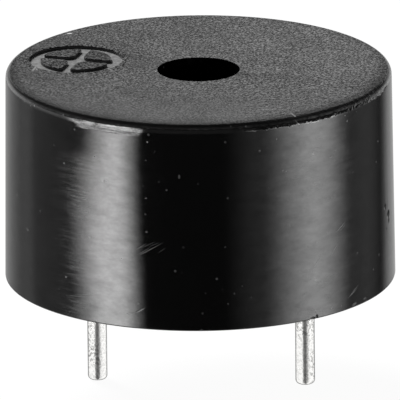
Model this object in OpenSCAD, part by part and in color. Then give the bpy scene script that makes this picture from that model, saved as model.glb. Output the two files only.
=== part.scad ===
// Round through-hole piezo buzzer with its own drive circuit, pins down, sound hole up.
// Millimetres. The origin is the middle of the two pins, on the plane of the housing's rim.
// The pins stand on the X axis, with the positive one at -X, under the polarity mark.

/* [Housing] */
// Outer diameter at the rim
body_d = 14; // [13.6:0.1:18]
// Height from the rim to the top
body_h = 7.6; // [7:0.1:12]
// Draft of the outer wall, in degrees
draft_angle = 0.7; // [0:0.1:2]
// Wall around the circuit board, at the rim
side_wall = 0.8; // [0.6:0.05:1]
// Thickness of the top
top_wall = 1.1; // [0.8:0.05:1.5]
// Radius of the outer edge around the top
top_edge_r = 0.2; // [0.1:0.05:0.5]
// Radius of the outer edge around the rim
rim_edge_r = 0.06; // [0.02:0.02:0.2]
// Lead-in chamfer inside the rim
lead_in = 0.15; // [0.05:0.05:0.25]
// Width of the ledge that the circuit board seats on
board_ledge_w = 0.35; // [0.2:0.05:0.5]
// Width of the ledge that the diaphragm seats on
disc_ledge_w = 0.5; // [0.3:0.05:0.7]
// Depth of the chamber in front of the diaphragm
front_h = 0.9; // [0.5:0.1:1.4]
// Diameter of the sound hole
sound_hole_d = 2.95; // [1:0.05:5]

/* [Polarity mark] */
// Outer diameter of the engraved ring
mark_d = 3.34; // [2.4:0.02:3.8]
// Width of the ring's groove
mark_ring_w = 0.4; // [0.2:0.02:0.5]
// Width of the plus sign's bars
mark_bar_w = 0.44; // [0.2:0.01:0.5]
// Depth of the engraving
mark_depth = 0.11; // [0.05:0.01:0.3]
// Distance from the ring to the housing's top edge
mark_margin = 0.63; // [0.5:0.01:1.2]
// Angle from the positive pin to the mark, towards the back
mark_turn = 11.7; // [0:0.1:20]

/* [Pins] */
// Distance between the two pins
pin_pitch = 7.5; // [6.5:0.1:7.8]
// Diameter of a pin's leg
pin_d = 0.7; // [0.5:0.05:0.8]
// Length of a leg below the rim
pin_free = 4.1; // [3:0.1:15]
// Rounding of a leg's end
pin_tip_r = 0.15; // [0.05:0.05:0.2]
// Diameter of the root that passes through the board
root_d = 1.1; // [1:0.05:1.3]
// Height of the root above the board
root_top_h = 0.4; // [0.2:0.05:0.6]
// Diameter of the collar under the board
collar_d = 1.6; // [1.5:0.05:1.9]
// Thickness of the collar
collar_t = 0.3; // [0.2:0.05:0.4]

/* [Circuit board] */
// Thickness of the board
board_t = 0.8; // [0.6:0.05:1]
// Gap between the board's edge and the housing
board_gap = 0.05; // [0.02:0.01:0.1]
// Gap between a pin's root and its hole in the board
root_gap = 0.05; // [0.02:0.01:0.1]
// Thickness of the copper
copper_t = 0.05; // [0.03:0.01:0.08]
// Width of a copper track
track_w = 0.3; // [0.2:0.05:0.4]
// Width of the copper ring around a pin's hole
pin_pad_w = 0.45; // [0.3:0.05:0.5]
// Diameter of the pads that the lead wires are soldered to
wire_pad_d = 1.1; // [0.9:0.05:1.2]

/* [Sealing resin] */
// Depth of the resin's face inside the rim
resin_recess = 0.3; // [0.25:0.05:0.5]
// Thickness of the resin under the board
resin_t = 0.8; // [0.6:0.05:1]

/* [Diaphragm] */
// Gap between the diaphragm's edge and the housing
disc_gap = 0.1; // [0.05:0.01:0.2]
// Thickness of the brass diaphragm
disc_t = 0.12; // [0.1:0.01:0.2]
// Bare brass around the piezo ceramic
brass_margin = 1.25; // [1.1:0.05:1.5]
// Thickness of the piezo ceramic
ceramic_t = 0.12; // [0.1:0.01:0.2]
// Bare ceramic around the silver
silver_margin = 0.3; // [0.2:0.05:0.5]
// Thickness of the silver
silver_t = 0.03; // [0.02:0.01:0.05]
// Width of the feedback tongue
tongue_w = 1.6; // [1.3:0.1:2]
// Length of the feedback tongue from the silver's edge
tongue_l = 3.4; // [2.8:0.1:4]
// Bare ceramic between the two silver areas
tongue_gap = 0.25; // [0.15:0.05:0.4]
// Width of the silicone bead under the diaphragm's edge
seal_w = 0.4; // [0.3:0.05:0.5]

/* [Lead wires] */
// Diameter of a lead wire
wire_d = 0.14; // [0.1:0.02:0.2]
// Diameter of a solder dot
dot_d = 0.8; // [0.6:0.05:0.9]
// Height of a solder dot
dot_h = 0.25; // [0.15:0.05:0.35]
// Bare brass on each side of the solder dot between the ceramic and the silicone
dot_clearance = 0.075; // [0.05:0.005:0.15]
// Distance of the main lead's dot from the silver's edge
main_dot_inset = 1.5; // [1.2:0.1:1.8]

/* [Components] */
// Length of the transistor's body
transistor_l = 2.9; // [2.7:0.1:3]
// Width of the transistor's body
transistor_w = 1.3; // [1.2:0.1:1.4]
// Height of the transistor's body
transistor_h = 1; // [0.8:0.05:1.1]
// Gap between the transistor's body and the copper
transistor_lift = 0.1; // [0.05:0.01:0.15]
// Thickness of a transistor leg
leg_t = 0.12; // [0.1:0.01:0.15]
// Width of a transistor leg
leg_w = 0.4; // [0.3:0.05:0.5]
// Reach of a transistor leg from the body
leg_reach = 0.55; // [0.5:0.05:0.6]
// Length of a chip resistor
chip_l = 1.6; // [1.5:0.05:1.7]
// Width of a chip resistor
chip_w = 0.8; // [0.7:0.05:0.9]
// Height of a chip resistor
chip_h = 0.45; // [0.35:0.05:0.55]
// Length of a chip resistor's end cap
chip_end_l = 0.3; // [0.2:0.05:0.35]
// Height and reach of the solder against a chip
fillet_size = 0.22; // [0.1:0.02:0.3]

/* [Board layout] */
// Bare board outside the lead wires' pads
pad_margin = 1; // [0.8:0.05:1.2]
// Distance of the transistor's middle from the line of the pins
transistor_y = 2; // [1.8:0.1:2.1]
// Half the distance between the transistor's two legs on one side
leg_x = 0.95; // [0.9:0.05:1]
// Distance of the load resistor's middle from the main lead's pad
load_gap = 1.6; // [1.5:0.05:1.7]
// Distance of the other two resistors' middles from the transistor's base leg
chip_gap = 2; // [1.7:0.1:2.3]
// Reach of a copper pad past what stands on it
pad_over = 0.15; // [0.1:0.05:0.2]

/* [Hidden] */
$fn = 96;

cut = 1; // how far a cutting shape runs past the face that it cuts
lead_sides = 8;
lead_steps = 14;

// Levels, from the rim up
board_z = resin_recess + resin_t;
board_top_z = board_z + board_t;
copper_z = board_top_z + copper_t;
front_z = body_h - top_wall - front_h; // the diaphragm's ledge
disc_z = front_z - disc_t;
ceramic_z = disc_z - ceramic_t;
silver_z = ceramic_z - silver_t;

// Radii inside the housing, each step narrower than the one below it
board_bore_r = body_d / 2 - side_wall;
rear_r = board_bore_r - board_ledge_w;
front_r = rear_r - disc_ledge_w;
board_r = board_bore_r - board_gap;
disc_r = rear_r - disc_gap;
ceramic_r = disc_r - brass_margin;
silver_r = ceramic_r - silver_margin;
dot_r = dot_d / 2;
seal_r = rear_r - seal_w; // the silicone's inner edge
ground_dot_r = (seal_r - ceramic_r) / 2 - dot_clearance;
wire_pad_r = wire_pad_d / 2;
root_hole_r = root_d / 2 + root_gap;
pin_pad_r = root_hole_r + pin_pad_w;

// Polarity mark
top_r = wall_r(body_h);
mark_r = top_r - mark_margin - mark_d / 2;
mark_angle = 180 - mark_turn;

// Solder dots under the diaphragm, and the pads below them on the board, as [x, y]
tongue_y = -silver_r;
main_dot = polar(silver_r - main_dot_inset, 110);
feedback_dot = [0, tongue_y + tongue_l - tongue_w / 2];
ground_dot = polar((seal_r + ceramic_r) / 2, 30);
wire_pad_ring_r = board_r - pad_margin - wire_pad_r;
main_pad = polar(wire_pad_ring_r, 125);
feedback_pad = polar(wire_pad_ring_r, 270);
ground_pad = polar(wire_pad_ring_r, 55);

// Components on the board, as [x, y] of their middles
transistor_at = [0, transistor_y];
foot_y = transistor_w / 2 + leg_reach;
base_foot = transistor_at + [-leg_x, -foot_y];
emitter_foot = transistor_at + [leg_x, -foot_y];
collector_foot = transistor_at + [0, foot_y];
load_at = main_pad - [0, load_gap];
bias_at = base_foot - [0, chip_gap];
feedback_at = emitter_foot - [0, chip_gap];
chip_end_y = (chip_l - chip_end_l) / 2;
body_slope = 0.08; // how far a transistor's sides slope in, at its top and bottom

positive_x = -pin_pitch / 2;
negative_x = pin_pitch / 2;

function wall_r(z) = body_d / 2 - z * tan(draft_angle);
function polar(r, a) = [r * cos(a), r * sin(a)];
function edge_centre_r(z, r) = wall_r(z) - r / cos(draft_angle);

// ---- Housing: one moulding, open at the bottom ----

// Outer half section, its top and rim edges rounded into the drafted wall
module outer_section() {
    top_c = [edge_centre_r(body_h - top_edge_r, top_edge_r), body_h - top_edge_r];
    rim_c = [edge_centre_r(rim_edge_r, rim_edge_r), rim_edge_r];
    wall_n = [cos(draft_angle), sin(draft_angle)];
    polygon([[0, 0], [rim_c.x, 0], rim_c, rim_c + rim_edge_r * wall_n,
             top_c + top_edge_r * wall_n, top_c, [top_c.x, body_h], [0, body_h]]);
    translate(top_c) circle(top_edge_r);
    translate(rim_c) circle(rim_edge_r);
}

// Everything hollow on the axis: board bore, rear chamber, front chamber and sound hole
module inner_section() {
    translate([0, -cut]) square([board_bore_r, board_top_z + cut]);
    translate([0, -cut]) square([rear_r, front_z + cut]);
    square([front_r, front_z + front_h]);
    square([sound_hole_d / 2, body_h + cut]);
    polygon([[0, -cut], [board_bore_r + lead_in + cut, -cut], [board_bore_r, lead_in], [0, lead_in]]);
}

// A plus sign in a ring, all of it one groove
module mark_outline() {
    inner_r = mark_d / 2 - mark_ring_w;
    difference() {
        circle(mark_d / 2);
        circle(inner_r);
    }
    intersection() {
        circle(inner_r + mark_ring_w / 2);
        for (a = [0, 90]) rotate(a) square([mark_d, mark_bar_w], center = true);
    }
}

module housing() {
    color("#1b1b1c") difference() {
        rotate_extrude() difference() {
            outer_section();
            inner_section();
        }
        rotate(mark_angle) translate([mark_r, 0, body_h - mark_depth])
            linear_extrude(mark_depth + cut) mark_outline();
    }
}

// ---- Diaphragm: brass disc, ceramic and silver, bedded in silicone ----

module diaphragm() {
    color("#c9a24a") translate([0, 0, disc_z]) cylinder(r = disc_r, h = disc_t);
}

module piezo_ceramic() {
    color("#cfc7b4") translate([0, 0, ceramic_z]) cylinder(r = ceramic_r, h = ceramic_t);
}

// The feedback tongue runs from the silver's edge towards the middle, with a round end
module tongue_outline(grow = 0) {
    w = tongue_w / 2 + grow;
    intersection() {
        circle(silver_r);
        union() {
            translate([-w, tongue_y - cut]) square([2 * w, cut + tongue_l - tongue_w / 2]);
            translate(feedback_dot) circle(w);
        }
    }
}

module main_electrode() {
    color("#d9dadb") translate([0, 0, silver_z]) linear_extrude(silver_t) difference() {
        circle(silver_r);
        tongue_outline(tongue_gap);
    }
}

module feedback_electrode() {
    color("#d9dadb") translate([0, 0, silver_z]) linear_extrude(silver_t) tongue_outline();
}

// Silicone bead, concave, in the corner under the disc's edge
module diaphragm_seal() {
    color("#e9e6df") rotate_extrude() difference() {
        translate([seal_r, disc_z - seal_w]) square(seal_w);
        translate([seal_r, disc_z - seal_w]) circle(seal_w * 0.8);
    }
}

// ---- Lead wires, from the disc down to the board ----

// A domed solder dot on the plane z = 0, with the wire standing in it
module solder_dot(r = dot_r) {
    ball_r = (r * r + dot_h * dot_h) / (2 * dot_h);
    difference() {
        intersection() {
            translate([0, 0, dot_h - ball_r]) sphere(ball_r);
            translate([-r * 1.5, -r * 1.5, 0]) cube([3 * r, 3 * r, 2 * dot_h]);
        }
        cylinder(d = wire_d, h = dot_h + cut);
    }
}

module hung_dot(at, z, r = dot_r) {
    color("#b9bcbf") translate([at.x, at.y, z]) mirror([0, 0, 1]) solder_dot(r);
}

module board_dot(at) {
    color("#b9bcbf") translate([at.x, at.y, copper_z]) solder_dot();
}

// Stations along a lead, as [distance, height, slope angle]: straight out of the upper dot,
// one smooth S, and straight into the lower dot
function lead_stations(reach, from_z) =
    let (rise = (from_z - copper_z) / 2 - dot_h,
         bends = [[0, from_z - dot_h], [0, from_z - dot_h - rise],
                  [reach, copper_z + dot_h + rise], [reach, copper_z + dot_h]])
    concat([[0, from_z, -90]], [for (i = [0:lead_steps]) bezier_station(bends, i / lead_steps)],
           [[reach, copper_z, -90]]);

function bezier_station(p, t) =
    let (u = 1 - t,
         at = u * u * u * p[0] + 3 * u * u * t * p[1] + 3 * u * t * t * p[2] + t * t * t * p[3],
         along = u * u * (p[1] - p[0]) + 2 * u * t * (p[2] - p[1]) + t * t * (p[3] - p[2]))
    [at.x, at.y, atan2(along.y, along.x)];

function wire_ring(station) = [for (i = [0:lead_sides - 1])
    let (a = i * 360 / lead_sides, out = wire_d / 2 * cos(a), side = wire_d / 2 * sin(a))
    [station.x - out * sin(station.z), side, station.y + out * cos(station.z)]];

module lead_wire(from, from_z, to) {
    run = to - from;
    stations = lead_stations(norm(run), from_z);
    last = (len(stations) - 1) * lead_sides;
    walls = [for (ring = [0:len(stations) - 2], i = [0:lead_sides - 1])
        let (k = ring * lead_sides, next = (i + 1) % lead_sides)
        each [[k + i, k + lead_sides + i, k + next],
              [k + next, k + lead_sides + i, k + lead_sides + next]]];
    ends = [[for (i = [0:lead_sides - 1]) i], [for (i = [lead_sides - 1:-1:0]) last + i]];
    color("#a5502c") translate([from.x, from.y, 0]) rotate(atan2(run.y, run.x))
        polyhedron([for (station = stations) each wire_ring(station)], concat(walls, ends));
}

module main_disc_solder() { hung_dot(main_dot, silver_z); }
module feedback_disc_solder() { hung_dot(feedback_dot, silver_z); }
module ground_disc_solder() { hung_dot(ground_dot, disc_z, ground_dot_r); }
module main_pad_solder() { board_dot(main_pad); }
module feedback_pad_solder() { board_dot(feedback_pad); }
module ground_pad_solder() { board_dot(ground_pad); }
module main_lead() { lead_wire(main_dot, silver_z, main_pad); }
module feedback_lead() { lead_wire(feedback_dot, silver_z, feedback_pad); }
module ground_lead() { lead_wire(ground_dot, disc_z, ground_pad); }

// ---- Circuit board, pressed up against its ledge ----

module at_pins() {
    for (x = [positive_x, negative_x]) translate([x, 0]) children();
}

module circuit_board() {
    color("#b98a4e") translate([0, 0, board_z]) linear_extrude(board_t) difference() {
        circle(board_r);
        at_pins() circle(root_hole_r);
    }
}

module track(from, to) {
    run = to - from;
    translate(from) rotate(atan2(run.y, run.x)) translate([0, -track_w / 2]) square([norm(run), track_w]);
    for (p = [from, to]) translate(p) circle(d = track_w);
}

module chip_pads(at) {
    for (side = [-1, 1]) translate(at + [0, side * (chip_end_y + fillet_size / 2)])
        square([chip_w + pad_over, chip_end_l + fillet_size + pad_over], center = true);
}

module copper_tracks() {
    up = [0, chip_end_y];
    color("#c77b45") translate([0, 0, board_top_z]) linear_extrude(copper_t) difference() {
        union() {
            at_pins() circle(pin_pad_r);
            for (p = [main_pad, feedback_pad, ground_pad]) translate(p) circle(wire_pad_r);
            for (p = [base_foot, emitter_foot, collector_foot])
                translate(p) square([leg_w + pad_over, leg_w + 2 * pad_over], center = true);
            for (p = [load_at, bias_at, feedback_at]) chip_pads(p);
            track([positive_x, 0], load_at - up);
            track(load_at + up, main_pad);
            track(main_pad, collector_foot);
            track(base_foot, bias_at + up);
            track(bias_at + up, feedback_at + up);
            track(bias_at - up, [positive_x, 0]);
            track(feedback_at - up, feedback_pad);
            track(emitter_foot, [negative_x, 0]);
            track(ground_pad, [negative_x, 0]);
        }
        at_pins() circle(root_hole_r);
    }
}

// ---- Components ----

// The body's sides slope away from the middle plane that its legs leave
module sloped_section(w, h) {
    narrow_w = w / 2 - body_slope;
    polygon([[-narrow_w, 0], [narrow_w, 0], [w / 2, h / 2],
             [narrow_w, h], [-narrow_w, h], [-w / 2, h / 2]]);
}

module transistor() {
    color("#232324") translate([transistor_at.x, transistor_at.y, copper_z + transistor_lift])
        intersection() {
            rotate([90, 0, 0]) linear_extrude(transistor_w, center = true)
                sloped_section(transistor_l, transistor_h);
            rotate([90, 0, 90]) linear_extrude(transistor_l, center = true)
                sloped_section(transistor_w, transistor_h);
        }
}

// Gull-wing leg: out of the body, down, and a flat foot on its pad
module leg() {
    knee = leg_reach * 0.4;
    exit_z = transistor_lift + transistor_h / 2;
    rotate([90, 0, 90]) linear_extrude(leg_w, center = true) polygon([
        [transistor_w / 2, exit_z - leg_t / 2], [transistor_w / 2 + knee - leg_t, exit_z - leg_t / 2],
        [transistor_w / 2 + knee - leg_t, 0], [transistor_w / 2 + leg_reach + leg_t, 0],
        [transistor_w / 2 + leg_reach + leg_t, leg_t], [transistor_w / 2 + knee, leg_t],
        [transistor_w / 2 + knee, exit_z + leg_t / 2], [transistor_w / 2, exit_z + leg_t / 2]]);
}

module transistor_legs() {
    color("#c4c7ca") translate([transistor_at.x, transistor_at.y, copper_z]) {
        leg();
        for (x = [-leg_x, leg_x]) translate([x, 0, 0]) rotate(180) leg();
    }
}

module chip_body(at) {
    color("#2a2c30") translate([at.x, at.y, copper_z + chip_h / 2])
        cube([chip_w, chip_l - 2 * chip_end_l, chip_h], center = true);
}

module load_resistor() { chip_body(load_at); }
module bias_resistor() { chip_body(bias_at); }
module feedback_resistor() { chip_body(feedback_at); }

module resistor_ends() {
    color("#cfd1d3") for (at = [load_at, bias_at, feedback_at], side = [-1, 1])
        translate([at.x, at.y + side * chip_end_y, copper_z + chip_h / 2])
            cube([chip_w, chip_end_l, chip_h], center = true);
}

// A concave wedge of solder of width w, standing against the plane y = 0
module solder_wedge(w) {
    rotate([90, 0, 90]) linear_extrude(w, center = true) difference() {
        square(fillet_size);
        translate([fillet_size, fillet_size]) circle(fillet_size * 0.85);
    }
}

module component_solder() {
    color("#b9bcbf") translate([0, 0, copper_z]) {
        for (at = [load_at, bias_at, feedback_at], side = [0, 180])
            translate([at.x, at.y, 0]) rotate(side) translate([0, chip_l / 2, 0]) solder_wedge(chip_w);
    }
}

// ---- Pins and the resin that closes the back ----

// Turned pin: leg, root, collar under the board, and the root's end above the board
module pin(x) {
    leg_r = pin_d / 2;
    root_r = root_d / 2;
    top_z = board_top_z + root_top_h;
    color("#d4d6d8") translate([x, 0, 0]) rotate_extrude() {
        translate([0, -pin_free]) square([leg_r - pin_tip_r, pin_free]);
        translate([0, pin_tip_r - pin_free]) square([leg_r, pin_free - pin_tip_r + resin_recess]);
        intersection() {
            translate([leg_r - pin_tip_r, pin_tip_r - pin_free]) circle(pin_tip_r);
            translate([0, -pin_free]) square([leg_r, pin_tip_r]);
        }
        translate([0, resin_recess]) square([root_r, top_z - resin_recess]);
        translate([0, board_z - collar_t]) square([collar_d / 2, collar_t]);
    }
}

module positive_pin() { pin(positive_x); }
module negative_pin() { pin(negative_x); }

// Solder cone between the copper ring and the root
module pin_solder(x) {
    root_r = root_d / 2;
    reach = pin_pad_r - root_r;
    color("#b9bcbf") translate([x, 0, copper_z]) rotate_extrude() difference() {
        translate([root_r, 0]) square([reach, root_top_h - copper_t]);
        translate([root_r + reach, root_top_h]) circle(min(reach, root_top_h) * 0.9);
    }
}

module positive_pin_solder() { pin_solder(positive_x); }
module negative_pin_solder() { pin_solder(negative_x); }

module sealing_resin() {
    color("#2b2926") difference() {
        translate([0, 0, resin_recess]) cylinder(r = board_bore_r, h = resin_t);
        at_pins() {
            translate([0, 0, resin_recess - cut]) cylinder(d = root_d, h = resin_t + 2 * cut);
            translate([0, 0, board_z - collar_t]) cylinder(d = collar_d, h = collar_t + cut);
        }
    }
}

housing();
diaphragm();
piezo_ceramic();
main_electrode();
feedback_electrode();
diaphragm_seal();
main_disc_solder();
feedback_disc_solder();
ground_disc_solder();
main_lead();
feedback_lead();
ground_lead();
main_pad_solder();
feedback_pad_solder();
ground_pad_solder();
circuit_board();
copper_tracks();
transistor();
transistor_legs();
load_resistor();
bias_resistor();
feedback_resistor();
resistor_ends();
component_solder();
positive_pin();
negative_pin();
positive_pin_solder();
negative_pin_solder();
sealing_resin();
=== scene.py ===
import math

import bmesh
import bpy
from mathutils import Matrix, Vector


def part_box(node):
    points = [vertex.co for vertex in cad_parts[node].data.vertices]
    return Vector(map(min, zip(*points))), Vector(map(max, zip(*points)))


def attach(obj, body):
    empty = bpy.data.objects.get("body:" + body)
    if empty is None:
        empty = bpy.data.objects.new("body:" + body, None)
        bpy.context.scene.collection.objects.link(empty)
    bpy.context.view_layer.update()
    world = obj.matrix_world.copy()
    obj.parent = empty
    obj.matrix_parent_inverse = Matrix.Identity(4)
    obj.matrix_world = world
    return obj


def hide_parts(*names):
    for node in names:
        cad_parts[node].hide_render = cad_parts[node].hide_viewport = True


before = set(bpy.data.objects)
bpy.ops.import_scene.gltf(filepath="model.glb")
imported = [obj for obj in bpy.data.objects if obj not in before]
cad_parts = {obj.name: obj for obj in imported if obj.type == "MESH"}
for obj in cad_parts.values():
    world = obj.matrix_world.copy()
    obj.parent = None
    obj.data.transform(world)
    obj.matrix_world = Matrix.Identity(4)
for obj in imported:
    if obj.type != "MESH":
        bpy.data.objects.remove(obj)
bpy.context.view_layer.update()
mm = 0.001


# ---- Housing ----
# One black moulding, a drafted cup with its closed end up and a sound hole in the middle. The mould
# leaves its flat top spark-eroded and matt and its side polished. The polarity mark is sunk in the top.

housing_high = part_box("housing")[1]
rim_r = housing_high.x
top_z = housing_high.z
draft = math.tan(math.radians(0.7))
hole_r = 1.475 * mm
top_edge_r = 0.2 * mm
rim_edge_r = 0.05 * mm
hole_edge_r = 0.015 * mm
drawn_in_h = 0.36 * mm
drawn_in = 0.005 * mm
board_bore_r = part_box("sealing_resin")[1].x
board_top_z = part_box("circuit_board")[1].z
rear_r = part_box("diaphragm_seal")[1].x
ledge_w = 0.5 * mm
front_r = rear_r - ledge_w
ledge_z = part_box("diaphragm")[1].z
front_chamber_h = 0.9 * mm
front_z = ledge_z + front_chamber_h
lead_in = 0.15 * mm
scar_ring_z = 3.6 * mm
housing_steps = 256


def wall_r(z):
    return rim_r - z * draft


def object_from(bm, name):
    bm.normal_update()
    mesh = bpy.data.meshes.new(name)
    bm.to_mesh(mesh)
    bm.free()
    piece = bpy.data.objects.new(name, mesh)
    bpy.context.scene.collection.objects.link(piece)
    return piece


def turned(profile, steps, closed=True):
    """A section of (radius, height) points in the XZ plane, spun round the Z axis."""
    bm = bmesh.new()
    points = [bm.verts.new((r, 0, z)) for r, z in profile]
    pairs = list(zip(points, points[1:]))
    if closed:
        pairs.append((points[-1], points[0]))
    edges = [bm.edges.new(pair) for pair in pairs]
    bmesh.ops.spin(bm, geom=points + edges, cent=(0, 0, 0), axis=(0, 0, 1),
                   angle=math.tau, steps=steps, use_merge=True)
    bmesh.ops.remove_doubles(bm, verts=bm.verts, dist=1e-8)
    bmesh.ops.recalc_face_normals(bm, faces=bm.faces)
    return bm


def ring_edges(bm, r, z):
    """The edges that lie on one circle of a turned shape."""
    def on_it(v):
        return abs(v.co.z - z) < 1e-7 and abs(math.hypot(v.co.x, v.co.y) - r) < 1e-6
    return [e for e in bm.edges if all(on_it(v) for v in e.verts)]


def round_edges(bm, edges, radius, segments):
    bmesh.ops.bevel(bm, geom=edges, offset=radius, offset_type="OFFSET", segments=segments,
                    profile=0.5, affect="EDGES", material=-1, clamp_overlap=True)


def housing_blank():
    """The whole cup as one turned shape. Its side draws in a little under the top edge, where it cooled last,
    and has a ring of edges over the gate's scar, which keeps the scar's faces short."""
    edge_r = wall_r(top_z) - drawn_in
    side = []
    rings = 6
    for i in range(rings):
        share = 1 - i / rings
        z = top_z - drawn_in_h + share * (drawn_in_h - top_edge_r)
        side.append((wall_r(z) - drawn_in * share ** 2, z))
    side.append((wall_r(scar_ring_z), scar_ring_z))
    bm = turned([
        (hole_r, top_z), (edge_r, top_z), *side,
        (rim_r, 0), (board_bore_r + lead_in, 0),
        (board_bore_r, lead_in), (board_bore_r, board_top_z), (rear_r, board_top_z),
        (rear_r, ledge_z), (front_r, ledge_z), (front_r, front_z), (hole_r, front_z)], housing_steps)
    round_edges(bm, ring_edges(bm, edge_r, top_z), top_edge_r, 8)
    round_edges(bm, ring_edges(bm, rim_r, 0), rim_edge_r, 3)
    round_edges(bm, ring_edges(bm, hole_r, top_z), hole_edge_r, 2)
    return bm


# The mark is a plus sign in a ring, over the positive pin and turned a little towards the back.
mark_r = 1.67 * mm
mark_ring_w = 0.40 * mm
mark_bar_w = 0.33 * mm
mark_depth = 0.11 * mm
mark_rim_edge_r = 0.09 * mm
mark_field_edge_r = 0.05 * mm
mark_corner_r = 0.32 * mm
mark_centre_r = wall_r(top_z) - 0.63 * mm - mark_r
mark_angle = math.radians(180 - 11.7)
mark_place = Matrix.Rotation(mark_angle, 4, "Z") @ Matrix.Translation((mark_centre_r, 0, top_z))


def prism(outline, low, high):
    """A closed prism over a flat outline."""
    bm = bmesh.new()
    face = bm.faces.new([bm.verts.new((x, y, low)) for x, y in outline])
    made = bmesh.ops.extrude_face_region(bm, geom=[face])
    moved = [v for v in made["geom"] if isinstance(v, bmesh.types.BMVert)]
    bmesh.ops.translate(bm, verts=moved, vec=(0, 0, high - low))
    bmesh.ops.recalc_face_normals(bm, faces=bm.faces)
    return bm


def arc(r, start, end, steps):
    angles = [start + (end - start) * i / steps for i in range(steps + 1)]
    return [(r * math.cos(a), r * math.sin(a)) for a in angles]


def mark_cutter():
    """The groove's solid: a disc, less the four raised fields between the ring and the bars."""
    low, high = -mark_depth, 0.1 * mm
    disc = prism(arc(mark_r, 0, math.tau, 128)[:-1], low, high)
    cutter = object_from(disc, "mark_cutter")
    field_r = mark_r - mark_ring_w
    side, corner_r = mark_bar_w / 2, mark_corner_r
    blunt = 0.06 * mm
    start = math.asin(side / field_r) + blunt / field_r
    corner = [(side + corner_r + x, side + corner_r + y) for x, y in arc(corner_r, math.pi, 1.5 * math.pi, 6)]
    end = field_r - 1.5 * blunt
    field = [*arc(field_r, start, math.pi / 2 - start, 24), (side, end), *corner, (end, side)]
    for quarter in range(4):
        keep = prism(field, low - 0.1 * mm, high + 0.1 * mm)
        bmesh.ops.rotate(keep, verts=keep.verts, cent=(0, 0, 0),
                         matrix=Matrix.Rotation(quarter * math.pi / 2, 3, "Z"))
        cut_away(cutter, object_from(keep, "field"))
    cutter.data.transform(mark_place)
    return cutter


def cut_away(piece, cutter, operation="DIFFERENCE"):
    """Takes cutter's solid out of piece's mesh, or with UNION adds it, for good."""
    step = piece.modifiers.new("cut", "BOOLEAN")
    step.operation, step.solver, step.object = operation, "EXACT", cutter
    bpy.context.view_layer.update()
    shape = bpy.data.meshes.new_from_object(piece.evaluated_get(bpy.context.evaluated_depsgraph_get()))
    piece.modifiers.clear()
    piece.data = shape
    bpy.data.objects.remove(cutter)


# The top is left as two flat halves, so that the mark is cut into large faces that shade evenly.
housing_bm = housing_blank()
spokes = [e for e in housing_bm.edges if all(abs(v.co.z - top_z) < 1e-8 for v in e.verts)
          and abs(e.verts[0].co.xy.length - e.verts[1].co.xy.length) > mm]
kept = {min(spokes, key=lambda e: (e.verts[0].co.xy.normalized() - Vector((side, 0))).length)
        for side in (-1, 1)}
bmesh.ops.dissolve_edges(housing_bm, edges=[e for e in spokes if e not in kept], use_verts=False)
housing = object_from(housing_bm, "moulded_housing")
cut_away(housing, mark_cutter())

# The scar where the gate broke off on the right, and a chip in the rim. Each is a few ragged pits, by azimuth
# in degrees, and by height, width, tallness and depth in millimetres.
gate_scar = ((77.6, 3.07, 0.32, 0.22, 0.04), (80.8, 2.68, 0.40, 0.34, 0.05), (81.3, 2.42, 0.20, 0.22, 0.03),
             (78.6, 2.20, 0.16, 0.10, 0.02))
rim_chip = ((40.4, 0.02, 0.28, 0.20, 0.08), (41.9, 0.05, 0.14, 0.26, 0.06))
for turn, height, width, tall, deep in gate_scar + rim_chip:
    pit = bmesh.new()
    bmesh.ops.create_icosphere(pit, subdivisions=2, radius=mm)
    bmesh.ops.scale(pit, verts=pit.verts, vec=(width / 2, deep, tall / 2))
    bmesh.ops.translate(pit, verts=pit.verts, vec=(0, -wall_r(height * mm), height * mm))
    bmesh.ops.rotate(pit, verts=pit.verts, cent=(0, 0, 0),
                     matrix=Matrix.Rotation(math.radians(turn), 3, "Z"))
    cut_away(housing, object_from(pit, "pit"))


def groove_edges(bm, on_rim):
    """The top edges of the mark's groove: the outer one, or those round the four fields."""
    found = []
    for e in bm.edges:
        level = all(abs(v.co.z - top_z) < 1e-7 for v in e.verts)
        if level and any(abs(f.normal.z) < 0.1 and min(v.co.z for v in f.verts) > top_z - 1.5 * mark_depth
                         for f in e.link_faces):
            off = (e.verts[0].co - mark_place.translation).xy.length
            if (off > mark_r - mark_ring_w / 2) == on_rim:
                found.append(e)
    return found


def even_shading(piece):
    """Smooth shading that follows the larger faces. It is worked out on the mesh in millimetres, because faces
    as small as these have no weight in metres."""
    piece.data.set_sharp_from_angle(angle=math.radians(40))
    piece.data.transform(Matrix.Scale(1 / mm, 4))
    step = piece.modifiers.new("even_shading", "WEIGHTED_NORMAL")
    step.keep_sharp = True
    bpy.context.view_layer.update()
    shape = bpy.data.meshes.new_from_object(piece.evaluated_get(bpy.context.evaluated_depsgraph_get()))
    piece.modifiers.clear()
    shape.transform(Matrix.Scale(mm, 4))
    piece.data = shape


housing_bm = bmesh.new()
housing_bm.from_mesh(housing.data)
round_edges(housing_bm, groove_edges(housing_bm, on_rim=True), mark_rim_edge_r, 4)
round_edges(housing_bm, groove_edges(housing_bm, on_rim=False), mark_field_edge_r, 3)
for f in housing_bm.faces:
    f.smooth = True
housing_bm.to_mesh(housing.data)
housing_bm.free()
even_shading(housing)
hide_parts("housing")
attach(housing, "root")


def shader(tree, kind, inputs=(), **settings):
    """A node with its settings, and its inputs given as values or as the sockets that feed them."""
    made = tree.nodes.new("ShaderNode" + kind)
    for name, value in settings.items():
        setattr(made, name, value)
    for name, value in dict(inputs).items():
        socket = made.inputs[name]
        if isinstance(value, bpy.types.NodeSocket):
            tree.links.new(value, socket)
        else:
            socket.default_value = value
    return made


def material(name):
    """A new material with an empty tree that ends in a Principled shader: (material, tree, shader)."""
    made = bpy.data.materials.new(name)
    made.use_nodes = True
    tree = made.node_tree
    tree.nodes.clear()
    surface = shader(tree, "BsdfPrincipled")
    shader(tree, "OutputMaterial", {"Surface": surface.outputs[0]})
    return made, tree, surface


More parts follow.
